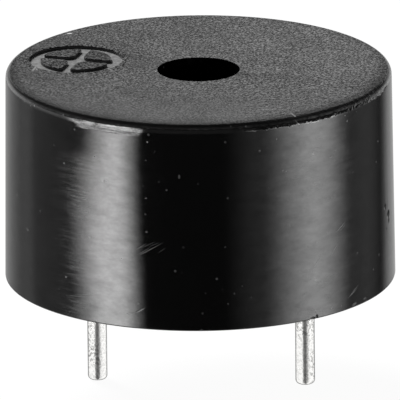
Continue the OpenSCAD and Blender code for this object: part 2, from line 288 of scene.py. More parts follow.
def in_mm(tree, stretch=(1, 1, 1)):
    """Object coordinates in millimetres, each axis times its own factor."""
    place = shader(tree, "TexCoord")
    return shader(tree, "Mapping", {"Vector": place.outputs["Object"],
                                    "Scale": [s / mm for s in stretch]}).outputs[0]


def between(tree, value, low, high, from_low=0.0, from_high=1.0):
    """value, from one range into another."""
    return shader(tree, "MapRange", {"Value": value, "From Min": from_low, "From Max": from_high,
                                     "To Min": low, "To Max": high}).outputs[0]


def maths(tree, operation, *values):
    return shader(tree, "Math", dict(enumerate(values)), operation=operation).outputs[0]


def times(tree, *values):
    product = values[0]
    for value in values[1:]:
        product = maths(tree, "MULTIPLY", product, value)
    return product


def total(tree, *values):
    amount = values[0]
    for value in values[1:]:
        amount = maths(tree, "ADD", amount, value)
    return amount


def soft_step(tree, value, start, end, level=1.0):
    """From nothing at start to level at end, with soft ends. The end may lie below the start."""
    return shader(tree, "MapRange", {"Value": value, "From Min": start, "From Max": end, "To Min": 0.0,
                                     "To Max": level}, interpolation_type="SMOOTHSTEP", clamp=False).outputs[0]


def band(tree, value, rise, fall, level=1.0):
    """From nothing to level over the two values of rise, and back to nothing over those of fall."""
    return times(tree, soft_step(tree, value, *rise, level), soft_step(tree, value, *fall))


def down_to(tree, mask, share):
    """A factor of one where the mask is nothing, and of share where it is full."""
    return between(tree, mask, 1.0, share)


def along(tree, vector, axis):
    return shader(tree, "VectorMath", {0: vector, 1: axis}, operation="DOT_PRODUCT").outputs["Value"]


def how_far(tree, vector):
    return shader(tree, "VectorMath", {0: vector}, operation="LENGTH").outputs["Value"]


def noise(tree, place, scale, detail, roughness=0.5):
    return shader(tree, "TexNoise", {"Vector": place, "Scale": scale, "Detail": detail,
                                     "Roughness": roughness}).outputs[0]


def scattered(tree, place, per_mm, channel=0):
    """Points scattered over a surface: how far each place is from the nearest one, and that point's number."""
    points = shader(tree, "TexVoronoi", {"Vector": place, "Scale": per_mm}, feature="F1")
    own = shader(tree, "SeparateColor", {0: points.outputs["Color"]}).outputs[channel]
    return points.outputs["Distance"], own


def raise_by(tree, surface, height):
    """Gives a shader a relief, by its height in millimetres."""
    bump = shader(tree, "Bump", {"Height": height, "Distance": mm, "Strength": 1.0})
    tree.links.new(bump.outputs[0], surface.inputs["Normal"])


# The side that faces the room's front is a little to the right of the line between the pins.
front_turn = math.radians(5.74)
middle = Vector((0, 0, top_z / 2))


def toward(azimuth, elevation=0.0):
    """The direction at an azimuth, in degrees to the right of the front, and an elevation."""
    a = front_turn + math.radians(azimuth)
    e = math.radians(elevation)
    return Vector((math.sin(a) * math.cos(e), -math.cos(a) * math.cos(e), math.sin(e)))


def azimuth_of(tree, direction):
    """The azimuth of a direction or a place, in degrees to the right of the front."""
    front, side = (along(tree, direction, toward(a)) for a in (0, 90))
    return maths(tree, "DEGREES", maths(tree, "ARCTAN2", side, front))


def grain_group():
    """The pitted skin that spark erosion leaves in a mould, as a height and as a mask of its pits."""
    group = bpy.data.node_groups.new("eroded_grain", "ShaderNodeTree")
    for name, kind, default in (("Pits per mm", "FLOAT", 8.0), ("Softness", "FLOAT", 0.5)):
        socket = group.interface.new_socket(name, in_out="INPUT", socket_type="NodeSocketFloat")
        socket.default_value = default
    for name in ("Height", "Pits"):
        group.interface.new_socket(name, in_out="OUTPUT", socket_type="NodeSocketFloat")
    given = group.nodes.new("NodeGroupInput")
    result = group.nodes.new("NodeGroupOutput")
    place = in_mm(group)
    coarse = noise(group, place, given.outputs["Pits per mm"], 2.0, given.outputs["Softness"])
    fine = shader(group, "TexVoronoi", {"Vector": place, "Scale": given.outputs["Pits per mm"]},
                  feature="SMOOTH_F1").outputs[0]
    height = total(group, coarse, times(group, fine, 0.5))
    group.links.new(height, result.inputs["Height"])
    group.links.new(soft_step(group, height, 0.9, 0.6), result.inputs["Pits"])
    return group


eroded_grain = grain_group()


def grained(tree, pits_per_mm, softness):
    made = tree.nodes.new("ShaderNodeGroup")
    made.node_tree = eroded_grain
    made.inputs["Pits per mm"].default_value = pits_per_mm
    made.inputs["Softness"].default_value = softness
    return made


def mixed(tree, kind, share, first, second):
    """From the first value or colour to the second, by a mask."""
    mix = shader(tree, "Mix", data_type=kind)
    factor, start, end = {"FLOAT": (0, 2, 3), "RGBA": (0, 6, 7)}[kind]
    for index, value in ((factor, share), (start, first), (end, second)):
        if isinstance(value, bpy.types.NodeSocket):
            tree.links.new(value, mix.inputs[index])
        else:
            mix.inputs[index].default_value = value
    return mix.outputs[0 if kind == "FLOAT" else 2]


def colour_mix(tree, share, first, second):
    """From one colour of three numbers to another, by a mask."""
    return mixed(tree, "RGBA", share, (*first, 1), (*second, 1))


def marks(tree, across, up, rows):
    """The scratches and specks of a face, as one mask. Each row says where the mark lies across and up, how
    long and how wide it is, in millimetres, how steep, in degrees, and how strong."""
    flat = shader(tree, "CombineXYZ", {"X": across, "Y": up, "Z": 1.0}).outputs[0]
    amount = 0.0
    for centre_x, centre_y, length, width, tilt, strength in rows:
        centre = Vector((centre_x, centre_y))
        steep = Vector((math.cos(math.radians(tilt)), math.sin(math.radians(tilt))))
        off = {}
        for name, axis in (("X", steep * 2 / length), ("Y", steep.orthogonal() * 2 / width)):
            off[name] = along(tree, flat, (*axis, -axis.dot(centre)))
        away = how_far(tree, shader(tree, "CombineXYZ", off).outputs[0])
        amount = total(tree, amount, soft_step(tree, away, 1.2, 0.3, strength))
    return amount


def scuffs_on_side(tree, place, z):
    """The scratches and specks of the side, each by its azimuth and its height."""
    scratches = (
        (-17.4, 3.07, 0.50, 0.03, 35, 0.3), (-14.5, 3.00, 1.13, 0.03, 31, 0.5),
        (-15.3, 3.15, 0.7, 0.03, 28, 0.25), (-16.4, 2.93, 0.8, 0.02, 33, 0.25),
        (-13.6, 3.17, 0.5, 0.03, 24, 0.3), (-11.3, 2.97, 0.36, 0.04, 36, 0.25),
        (-18.0, 0.69, 0.44, 0.06, 30, 0.8), (-21.0, 0.54, 0.4, 0.03, 12, 0.4),
        (-10.6, 5.58, 0.37, 0.03, -49, 0.06), (-10.3, 5.14, 0.63, 0.03, 73, 0.05),
        (-12.3, 4.68, 0.42, 0.03, 47, 0.05), (45.9, 3.16, 0.55, 0.05, 29, 0.7),
        (46.8, 3.12, 0.45, 0.03, 29, 0.4), (36.5, 2.1, 0.85, 0.03, 54, 0.3),
        (43.0, 2.38, 0.6, 0.03, 47, 0.4), (50.8, 0.56, 0.6, 0.06, 25, 0.8),
        (52.0, 0.68, 0.5, 0.03, 25, 0.5), (-38.5, 0.87, 1.4, 0.03, 8, 0.3),
        (-35.5, 1.0, 0.8, 0.03, 12, 0.2), (-13.2, 6.6, 0.2, 0.04, 60, 0.12),
        (51.6, 0.12, 0.3, 0.12, 10, 0.9), (56.9, 0.16, 0.22, 0.1, 0, 0.7),
        (30.2, 7.4, 0.34, 0.04, -60, 1.4))
    specks = (
        (-43.9, 5.68, 0.07, 0.07, 0, 1.0), (-15.5, 6.95, 0.07, 0.07, 0, 1.0),
        (23.5, 6.92, 0.07, 0.07, 0, 0.7), (49.5, 6.99, 0.07, 0.07, 0, 0.9),
        (7.3, 3.1, 0.06, 0.06, 0, 0.5), (8.0, 0.99, 0.07, 0.06, 0, 0.6),
        (-43.2, 1.47, 0.08, 0.09, 0, 0.9), (-29.2, 5.33, 0.12, 0.09, 20, 1.3),
        (25.4, 5.72, 0.06, 0.06, 0, 0.8), (26.4, 5.66, 0.06, 0.06, 0, 0.8),
        (66.8, 5.69, 0.09, 0.07, 0, 1.0), (12.2, 1.62, 0.06, 0.05, 0, 0.5),
        (-61.7, 2.67, 0.08, 0.07, 0, 0.9), (9.4, 7.53, 0.07, 0.06, 0, 1.2),
        (13.9, 7.5, 0.08, 0.05, 0, 1.2), (-16.0, 6.27, 0.08, 0.07, 0, 0.25),
        (-16.0, 4.87, 0.09, 0.07, 20, 0.4), (-16.2, 4.27, 0.08, 0.08, 0, 0.35),
        (-15.9, 3.62, 0.10, 0.08, 0, 0.5), (-12.0, 5.5, 0.12, 0.08, 30, 0.15),
        (48.5, 7.22, 0.08, 0.05, 0, 1.0))
    per_degree = math.radians(rim_r / mm)
    around = times(tree, azimuth_of(tree, place), per_degree)
    return marks(tree, around, z, [(turn * per_degree, *rest) for turn, *rest in scratches + specks])


# The plastic's tones, on a scale from nothing to white, and its roughness. The tones of the top and of the
# mark's floor are partly painted sheen.
side_black = 0.0017
top_sheen_dark, top_sheen_light = 0.076, 0.107
mark_floor_sheen_light, mark_floor_sheen_dark = (0.195, 0.195, 0.195), (0.13, 0.13, 0.13)
polished, eroded_rough = 0.07, 0.55


def moulded_plastic():
    """Black plastic: polished on the side, eroded on the top and over the top edge's shoulder, and finer
    and paler on the floor of the mark. The top's grey and the floor's paleness are partly painted sheen.
    Places and sizes are in millimetres and degrees."""
    made, tree, surface = material("moulded_black_plastic")
    surface.inputs["IOR"].default_value = 1.5
    place = in_mm(tree)
    x, y, z = shader(tree, "SeparateXYZ", {0: place}).outputs
    top = top_z / mm
    top_r = wall_r(top_z) / mm
    mark_low = top - mark_depth / mm

    # The eroded skin ends on the top edge in a ragged line. The mark's floor is eroded too.
    rag = noise(tree, place, 6.0, 2.0)
    ragged = total(tree, z, between(tree, rag, -0.012, 0.012, 0.25, 0.75))
    eroded = soft_step(tree, ragged, top - 0.022, top - 0.004)
    mark_floor = band(tree, z, (mark_low - 0.01, mark_low - 0.005), (mark_low + 0.02, mark_low + 0.005))
    off_mark = shader(tree, "VectorMath", {0: place, 1: mark_place.translation / mm}, operation="SUBTRACT")
    from_mark = how_far(tree, off_mark.outputs[0])
    mark_field = soft_step(tree, from_mark, 1.35, 1.25)
    mark_floor = times(tree, mark_floor, soft_step(tree, from_mark, 1.75, 1.69))

    # The top is pitted, worn smoother towards the front, and grey in patches. It is darker along its border,
    # round the mark and on the mark's fields, and has a few dark flecks and light hairs.
    grain = grained(tree, 13.0, 0.6)
    pale = grained(tree, 9.0, 0.6)
    worn = soft_step(tree, y, -1.5, -5.5)
    depth = down_to(tree, worn, 0.62)
    off_axis = how_far(tree, shader(tree, "CombineXYZ", {"X": x, "Y": y}).outputs[0])
    outside = soft_step(tree, off_axis, top_r - 0.5, top_r - 0.3)
    shoulder = times(tree, outside, soft_step(tree, ragged, top - 0.18, top - 0.12))
    edge_highlight_line = times(tree, shoulder, soft_step(tree, ragged, top - 0.05, top - 0.1))
    reach = total(tree, off_axis, soft_step(tree, x, 0.0, 5.5, 0.16), soft_step(tree, y, -1.0, 3.0, -0.3))
    border = soft_step(tree, reach, top_r - 0.6, top_r - 0.12)
    inner_border = soft_step(tree, reach, top_r - 1.2, top_r - 0.5)
    patchy = noise(tree, place, 0.5, 4.0, 0.6)
    flecks = marks(tree, x, y, ((-2.55, 3.33, 0.3, 0.2, 0, 0.6), (-1.64, -3.52, 0.3, 0.2, 30, 0.6),
                                (-2.6, -2.48, 0.3, 0.2, 0, 0.6), (-3.0, 3.6, 0.5, 0.1, 20, 0.5)))
    hairs = marks(tree, x, y, ((-5.06, 4.1, 0.25, 0.12, 19, 0.5), (-5.88, -0.37, 0.67, 0.1, -93, 0.13),
                               (-5.79, -0.35, 0.65, 0.08, -77, 0.1), (3.94, -5.4, 0.8, 0.09, -63, 0.16),
                               (1.36, 0.75, 0.24, 0.1, -50, 0.16), (-0.5, 1.53, 0.3, 0.08, 15, 0.14),
                               (-1.5, -0.35, 0.2, 0.1, 80, 0.14), (2.9, -4.7, 0.5, 0.05, 25, 0.08),
                               (-3.7, -2.4, 0.12, 0.12, 0, 0.14)))
    relief = total(tree, depth, soft_step(tree, from_mark, 2.1, 1.7, 0.5))
    pitting = times(tree, maths(tree, "SUBTRACT", 0.4, grain.outputs["Pits"]), relief, 1.25)
    halo = times(tree, soft_step(tree, from_mark, 3.2, 1.8), soft_step(tree, y, -1.6, 0.2))
    # The top's grey tone is partly painted sheen, for the light that its matt skin scatters at a low view. It
    # is also lighter towards the right.
    tone = times(tree, between(tree, patchy, top_sheen_dark, top_sheen_light, 0.3, 0.7), down_to(tree, worn, 0.86),
                 down_to(tree, halo, 0.84), down_to(tree, mark_field, 0.84), down_to(tree, border, 0.38),
                 down_to(tree, inner_border, 0.9), between(tree, x, 0.86, 1.16, -4.5, 4.5),
                 maths(tree, "SUBTRACT", 1.0, flecks), total(tree, 1.0, pitting))
    # The mark's paler floor is partly painted sheen.
    mark_floor_sheen_colour = colour_mix(tree, pale.outputs["Pits"], mark_floor_sheen_light, mark_floor_sheen_dark)

    # On the side lie scratches and specks, rare dust, and drifts of finer fluff.
    scuffs = scuffs_on_side(tree, place, z)
    off_speck, rare = scattered(tree, place, 0.8)
    dust = times(tree, soft_step(tree, off_speck, 0.04, 0.02), rare, rare, 0.08)
    off_fluff, few = scattered(tree, place, 2.1)
    cloud = noise(tree, place, 0.5, 5.0, 0.6)
    fluff = times(tree, soft_step(tree, off_fluff, 0.13, 0.03), few, soft_step(tree, cloud, 0.36, 0.54, 0.12))

    # Two patches where the side was rubbed, with soft ends, and a duller flank beside the left one. Each
    # leaves a thin grey film, with fine streaks that run round the side.
    around = azimuth_of(tree, place)
    aside = soft_step(tree, maths(tree, "ABSOLUTE", around), 18, 42)
    ripple = noise(tree, in_mm(tree, (1.1, 1.1, 13)), 1.0, 4.0, 0.6)
    left_rub = times(tree, band(tree, around, (-58, -38), (-20, -32)),
                     band(tree, z, (0.0, 0.6), (6.6, 5.4), 0.7))
    flank = times(tree, band(tree, around, (-54, -36), (-30, -38), 0.6),
                  total(tree, band(tree, z, (1.2, 2.0), (6.4, 5.6)), soft_step(tree, z, 1.1, 0.4, 1.2)))
    right_rub = times(tree, band(tree, around, (20, 38), (62, 48), 0.6), soft_step(tree, z, 0.0, 1.0))
    streak = soft_step(tree, ripple, 0.3, 0.74)
    smudge = noise(tree, in_mm(tree, (1.4, 1.4, 3.0)), 1.0, 4.0, 0.75)
    tree.links.new(between(tree, smudge, 0.38, 0.62, 0.25, 0.75), surface.inputs["Specular IOR Level"])
    rub = times(tree, total(tree, left_rub, right_rub), soft_step(tree, cloud, 0.3, 0.6))
    right_film = band(tree, around, (10, 34), (52, 42), 0.012)
    film = times(tree, total(tree, times(tree, flank, 0.008), right_film, times(tree, left_rub, 0.006)),
                 between(tree, streak, 0.1, 1.3), soft_step(tree, cloud, 0.3, 0.65, 1.3))

    # Nicks along the top edge and the rim, and a painted highlight: the light line where the top edge turns
    # down, brighter on both sides and most on the right.
    off_nick, nicked = scattered(tree, place, 4.5, channel=1)
    on_edge = band(tree, z, (top - 0.3, top - 0.22), (top - 0.08, top - 0.13))
    nick = times(tree, soft_step(tree, off_nick, 0.26, 0.1), soft_step(tree, nicked, 0.6, 0.9),
                 total(tree, on_edge, soft_step(tree, z, 0.12, 0.05, 0.8)))
    edge_highlight_level = total(tree, 0.014, times(tree, aside, 0.01), soft_step(tree, around, 20, 42, 0.06))
    painted_edge_highlight = times(tree, edge_highlight_line, edge_highlight_level, between(tree, rag, 0.3, 1.7, 0.3, 0.7))

    # Under the left of the top edge the side was burnished, and leans in by a few ragged degrees; the pale
    # strip along it is partly that scrape and partly a painted highlight. On the right the edge's rounding
    # runs further down, to a torn end that carries a painted highlight line.
    burnished_highlight_band = band(tree, around, (-41, -34), (-16.5, -21))
    scrape_and_highlight = times(tree, burnished_highlight_band, band(tree, ragged, (top - 0.38, top - 0.24), (top - 0.14, top - 0.19)),
                    between(tree, smudge, 0.0, 0.5, 0.35, 0.6))
    rounded = band(tree, around, (12, 24), (78, 60))
    inside = total(tree, z, 0.27 - top, between(tree, rag, -0.05, 0.05, 0.25, 0.75))
    torn_end_highlight = times(tree, rounded, band(tree, inside, (-0.05, -0.01), (0.03, 0.0)),
                 soft_step(tree, smudge, 0.48, 0.6), soft_step(tree, around, 52, 36, 0.5))
    side_tone = total(tree, side_black, painted_edge_highlight, scrape_and_highlight, torn_end_highlight, times(tree, scuffs, 0.12), dust, fluff,
                      film, times(tree, nick, 0.16))
    side_and_floor = mixed(tree, "RGBA", mark_floor, side_tone, mark_floor_sheen_colour)
    tree.links.new(mixed(tree, "RGBA", eroded, side_and_floor, total(tree, tone, hairs)),
                   surface.inputs["Base Color"])

    # The side's polish is duller where it was rubbed and scratched.
    mottle = noise(tree, in_mm(tree, (1, 1, 1.6)), 2.6, 3.0)
    polish = total(tree, polished, times(tree, rub, between(tree, streak, 0.06, 0.2)),
                   times(tree, streak, 0.03), times(tree, flank, between(tree, streak, 0.08, 0.22)),
                   times(tree, scuffs, 0.25), times(tree, shoulder, 0.25))
    matt = maths(tree, "MAXIMUM", eroded, mark_floor)
    tree.links.new(mixed(tree, "FLOAT", matt, polish, eroded_rough), surface.inputs["Roughness"])

    # The relief of all of these.
    wavy = noise(tree, place, 0.35, 1.0)
    lean_in = maths(tree, "MAXIMUM", 0.0, total(tree, z, 0.48 - top, between(tree, ripple, -0.12, 0.12)))
    burnish = times(tree, burnished_highlight_band, soft_step(tree, z, top - 0.18, top - 0.24),
                    between(tree, streak, 0.8, 1.3))
    rounding = maths(tree, "MAXIMUM", 0.0, inside)
    raise_by(tree, surface, total(
        tree, times(tree, ripple, total(tree, times(tree, rub, 0.0025), 0.0003)), times(tree, wavy, 0.008),
        times(tree, mottle, 0.002), times(tree, lean_in, burnish, -0.06),
        times(tree, rounding, rounded, -0.35), times(tree, nick, 0.004), times(tree, scuffs, -0.003),
        times(tree, grain.outputs["Height"], eroded, depth, 0.03),
        times(tree, pale.outputs["Height"], mark_floor, 0.004)))
    return made


housing.data.materials.append(moulded_plastic())


# ---- Piezo disc ----
# A rolled brass disc with a fired ceramic disc glued under it. The ceramic carries two printed and fired
# silver areas: the main one, and the tongue that the drive circuit listens to.

def lines_group():
    """The fine lines of a rolled or drawn surface, or the fibres of paper, stretched along one axis."""
    group = bpy.data.node_groups.new("drawn_lines", "ShaderNodeTree")
    stretch = group.interface.new_socket("Lines per mm", in_out="INPUT", socket_type="NodeSocketVector")
    stretch.default_value = (0.3, 12.0, 12.0)
    group.interface.new_socket("Lines", in_out="OUTPUT", socket_type="NodeSocketFloat")
    given = group.nodes.new("NodeGroupInput")
    result = group.nodes.new("NodeGroupOutput")
    place = shader(group, "VectorMath", {0: in_mm(group), 1: given.outputs[0]},
                   operation="MULTIPLY").outputs[0]
    group.links.new(soft_step(group, noise(group, place, 1.0, 3.0, 0.65), 0.3, 0.7), result.inputs["Lines"])
    return group


def tarnish_group():
    """Where a surface has clouded over, as a mask of soft patches with finer spots in them."""
    group = bpy.data.node_groups.new("clouded_patches", "ShaderNodeTree")
    scale = group.interface.new_socket("Patches per mm", in_out="INPUT", socket_type="NodeSocketFloat")
    scale.default_value = 0.5
    group.interface.new_socket("Clouding", in_out="OUTPUT", socket_type="NodeSocketFloat")
    given = group.nodes.new("NodeGroupInput")
    result = group.nodes.new("NodeGroupOutput")
    place = in_mm(group)
    broad = noise(group, place, given.outputs[0], 5.0, 0.6)
    spots = shader(group, "TexVoronoi", {"Vector": place, "Scale": times(group, given.outputs[0], 6.0)},
                   feature="SMOOTH_F1").outputs[0]
    mask = total(group, soft_step(group, broad, 0.42, 0.7, 0.8), soft_step(group, spots, 0.22, 0.1, 0.2))
    group.links.new(mask, result.inputs["Clouding"])
    return group


drawn_lines, clouded_patches = lines_group(), tarnish_group()


def placed(tree, group, value):
    """A node group in a material, with its one input set: its one output."""
    made = tree.nodes.new("ShaderNodeGroup")
    made.node_tree = group
    made.inputs[0].default_value = value
    return made.outputs[0]


def metal_finish(name, clean, clouded, patches, lines, smooth, rough, relief=0.002):
    """A bare metal: its clean and clouded colours, its patches and lines per millimetre, its roughness from
    smooth to rough, and the lines' depth in millimetres."""
    made, tree, surface = material(name)
    surface.inputs["Metallic"].default_value = 1.0
    clouding = placed(tree, clouded_patches, patches)
    streak = placed(tree, drawn_lines, lines)
    tree.links.new(colour_mix(tree, clouding, clean, clouded), surface.inputs["Base Color"])
    tree.links.new(total(tree, between(tree, streak, smooth, rough), times(tree, clouding, 0.12)),
                   surface.inputs["Roughness"])
    raise_by(tree, surface, times(tree, streak, relief))
    return made


def grained_finish(name, light, dark, grains, softness, smooth, rough, relief):
    """A moulded, fired or cast body: its two colours, its grains per millimetre and their softness, its
    roughness from smooth to rough, and the grain's depth in millimetres."""
    made, tree, surface = material(name)
    grain = grained(tree, grains, softness)
    tree.links.new(colour_mix(tree, grain.outputs["Pits"], light, dark), surface.inputs["Base Color"])
    tree.links.new(between(tree, grain.outputs["Pits"], smooth, rough), surface.inputs["Roughness"])
    raise_by(tree, surface, times(tree, grain.outputs["Height"], relief))
    return made


def give(finish, *nodes):
    for node in nodes:
        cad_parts[node].material_slots[0].material = finish


give(metal_finish("rolled_brass", clean=(0.72, 0.53, 0.25), clouded=(0.55, 0.36, 0.16), patches=0.4,
                  lines=(0.3, 14.0, 14.0), smooth=0.22, rough=0.4), "diaphragm")
give(grained_finish("fired_ceramic", light=(0.64, 0.59, 0.49), dark=(0.55, 0.5, 0.41), grains=9.0,
                    softness=0.7, smooth=0.6, rough=0.75, relief=0.01), "piezo_ceramic")
give(metal_finish("fired_silver", clean=(0.82, 0.82, 0.8), clouded=(0.66, 0.64, 0.58), patches=0.7,
                  lines=(7.0, 7.0, 7.0), smooth=0.42, rough=0.58, relief=0.006),
     "main_electrode", "feedback_electrode")


# ---- Disc seal ----
# A bead of translucent white silicone, laid round under the disc's edge, holds it on the housing's ledge. It
# closes the sound chamber, and stays soft enough to let the disc bend.

silicone = grained_finish("silicone_bead", light=(0.8, 0.78, 0.74), dark=(0.74, 0.72, 0.67), grains=1.6,
                          softness=0.5, smooth=0.28, rough=0.42, relief=0.06)
bead = next(n for n in silicone.node_tree.nodes if n.type == "BSDF_PRINCIPLED")
bead.inputs["Subsurface Weight"].default_value = 0.3
bead.inputs["Subsurface Scale"].default_value = 0.3 * mm
give(silicone, "diaphragm_seal")


# ---- Leads ----
# Three enamelled copper wires run in loose arcs to the board, one from each silver area and one from the
# brass. Each is soldered at both ends with a small domed dot.

enamelled = metal_finish("enamelled_copper", clean=(0.55, 0.22, 0.1), clouded=(0.42, 0.15, 0.06), patches=0.8,
                         lines=(9.0, 9.0, 0.6), smooth=0.2, rough=0.3)
lacquer = next(n for n in enamelled.node_tree.nodes if n.type == "BSDF_PRINCIPLED")
lacquer.inputs["Coat Weight"].default_value = 1.0
lacquer.inputs["Coat Roughness"].default_value = 0.08
give(enamelled, "main_lead", "feedback_lead", "ground_lead")
solder = metal_finish("solder", clean=(0.62, 0.63, 0.65), clouded=(0.42, 0.42, 0.42), patches=1.5,
                      lines=(8.0, 8.0, 8.0), smooth=0.14, rough=0.34, relief=0.004)
give(solder, *(f"{lead}_{end}_solder" for lead in ("main", "feedback", "ground")
               for end in ("disc", "pad")))


# ---- Board ----
# A round of brown paper laminate, with holes for the pins, seats on a ledge of the housing. It carries the
# etched copper tracks of the drive circuit.

light_paper, dark_paper = (0.5, 0.33, 0.15), (0.36, 0.21, 0.09)


def paper_laminate():
    made, tree, surface = material("paper_laminate")
    fibres = placed(tree, drawn_lines, (1.2, 9.0, 9.0))
    cloud = placed(tree, clouded_patches, 0.6)
    shade = total(tree, times(tree, fibres, 0.6), times(tree, cloud, 0.4))
    tree.links.new(colour_mix(tree, shade, light_paper, dark_paper), surface.inputs["Base Color"])
    tree.links.new(between(tree, fibres, 0.38, 0.55), surface.inputs["Roughness"])
    raise_by(tree, surface, times(tree, fibres, 0.004))
    return made


give(paper_laminate(), "circuit_board")
give(metal_finish("etched_copper", clean=(0.72, 0.36, 0.2), clouded=(0.45, 0.2, 0.11), patches=0.5,
                  lines=(0.8, 8.0, 8.0), smooth=0.25, rough=0.42), "copper_tracks")


# ---- Drive circuit ----
# A transistor in moulded epoxy, with formed legs, and three glazed chip resistors with plated ends keep the
# disc ringing. They and the pins' roots are soldered to the copper.

give(grained_finish("moulded_epoxy", light=(0.036, 0.036, 0.038), dark=(0.022, 0.022, 0.023), grains=11.0,
                    softness=0.6, smooth=0.5, rough=0.66, relief=0.012), "transistor")
give(grained_finish("glazed_chip", light=(0.05, 0.055, 0.066), dark=(0.03, 0.034, 0.042), grains=5.0,
                    softness=0.4, smooth=0.12, rough=0.22, relief=0.003),
     "load_resistor", "bias_resistor", "feedback_resistor")
give(metal_finish("plated_tin", clean=(0.78, 0.78, 0.77), clouded=(0.6, 0.6, 0.58), patches=1.2,
                  lines=(9.0, 9.0, 9.0), smooth=0.22, rough=0.4, relief=0.003),
     "resistor_ends", "transistor_legs")
give(solder, "component_solder", "positive_pin_solder", "negative_pin_solder")


# ---- Pins ----
# Two turned brass pins, soldered into the board. They were dipped in tin, which leaves a bright coat with fine
# pits in uneven drifts.

bright_tin, pit_grey = (0.93, 0.925, 0.91), (0.4, 0.4, 0.39)


def tin():
    made, tree, surface = material("dipped_tin")
    surface.inputs["Metallic"].default_value = 1.0
    drifts = soft_step(tree, noise(tree, in_mm(tree, (1, 1, 0.7)), 1.3, 2.0), 0.38, 0.62)
    pits = grained(tree, 11.0, 0.7)
    lines = placed(tree, drawn_lines, (7.0, 7.0, 0.8))
    pitted = times(tree, soft_step(tree, pits.outputs["Pits"], 0.6, 0.95), between(tree, drifts, 0.3, 1.0))
    tree.links.new(colour_mix(tree, pitted, bright_tin, pit_grey), surface.inputs["Base Color"])
    tree.links.new(total(tree, between(tree, lines, 0.07, 0.16), times(tree, pitted, 0.12)),
                   surface.inputs["Roughness"])
    pit_depth = between(tree, drifts, 0.005, 0.009)
    raise_by(tree, surface, total(tree, times(tree, pits.outputs["Height"], pit_depth),
                                  times(tree, lines, 0.002)))
    return made


give(tin(), "positive_pin", "negative_pin")


# ---- Sealing resin ----
# Black resin poured over the board closes the back. It crept up the wall and the pins before it set, and a
# few small bubbles broke at its face.

resin_low, resin_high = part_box("sealing_resin")
face_z = resin_low.z
creep = 0.13 * mm
wall_creep_w = 0.6 * mm
pin_creep_w = 0.5 * mm
pin_r = 0.35 * mm
creep_steps = 6
light_resin, dark_resin = (0.045, 0.04, 0.036), (0.03, 0.026, 0.022)


def poured_resin():
    """The poured disc, with its edge drawn up the wall, and a fillet round each pin."""
    shares = [i / creep_steps for i in range(creep_steps + 1)]
    climb = [(share, face_z - creep * (1 - share) ** 3) for share in shares]
    wall = [(resin_high.x - wall_creep_w * share, z) for share, z in climb]
    pour = turned([(0, face_z), *reversed(wall), (resin_high.x, resin_high.z), (0, resin_high.z)], 128)
    piece = object_from(pour, "poured_resin")
    root_z = face_z + 0.1 * mm
    for pin in ("positive_pin", "negative_pin"):
        low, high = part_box(pin)
        pin_x = (low.x + high.x) / 2
        rise = [(pin_r + pin_creep_w * share, z) for share, z in climb]
        collar = turned([(0, rise[0][1]), *rise, (rise[-1][0], root_z), (0, root_z)], 48)
        bmesh.ops.translate(collar, verts=collar.verts, vec=(pin_x, 0, 0))
        cut_away(piece, object_from(collar, "fillet"), "UNION")
        solid = bmesh.new()
        solid.from_mesh(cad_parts[pin].data)
        bmesh.ops.remove_doubles(solid, verts=solid.verts, dist=1e-7)
        cut_away(piece, object_from(solid, "pin_space"))
    for f in piece.data.polygons:
        f.use_smooth = True
    even_shading(piece)
    return piece


def black_resin():
    made, tree, surface = material("black_resin")
    place = in_mm(tree)
    slow = noise(tree, place, 0.45, 2.0)
    off_bubble, rare = scattered(tree, place, 0.7)
    craters = times(tree, soft_step(tree, off_bubble, 0.13, 0.06), soft_step(tree, rare, 0.5, 0.7))
    clouding = placed(tree, clouded_patches, 0.35)
    tree.links.new(colour_mix(tree, clouding, dark_resin, light_resin), surface.inputs["Base Color"])
    tree.links.new(total(tree, between(tree, clouding, 0.22, 0.42), times(tree, craters, 0.2)),
                   surface.inputs["Roughness"])
    raise_by(tree, surface, total(tree, times(tree, slow, 0.12), times(tree, craters, -0.05)))
    return made


resin = poured_resin()
resin.data.materials.clear()
resin.data.materials.append(black_resin())
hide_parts("sealing_resin")
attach(resin, "root")


# ---- Floor ----
# A plain white sheet under the pins' ends. It shows white, with only the part's own soft shadow. In the
# gloss it glows with painted light, laid out as two low lamps would light it: a broad patch on each side, and
# a dark front.

part_r = 7.0


def off_middle(tree, place):
    """How far a place on the sheet is from the part's middle, and no less than the part's own radius, in
    millimetres."""
    flat = shader(tree, "VectorMath", {0: place, 1: (1 / mm, 1 / mm, 0)},
                  operation="MULTIPLY").outputs["Vector"]
    return maths(tree, "MAXIMUM", how_far(tree, flat), part_r)


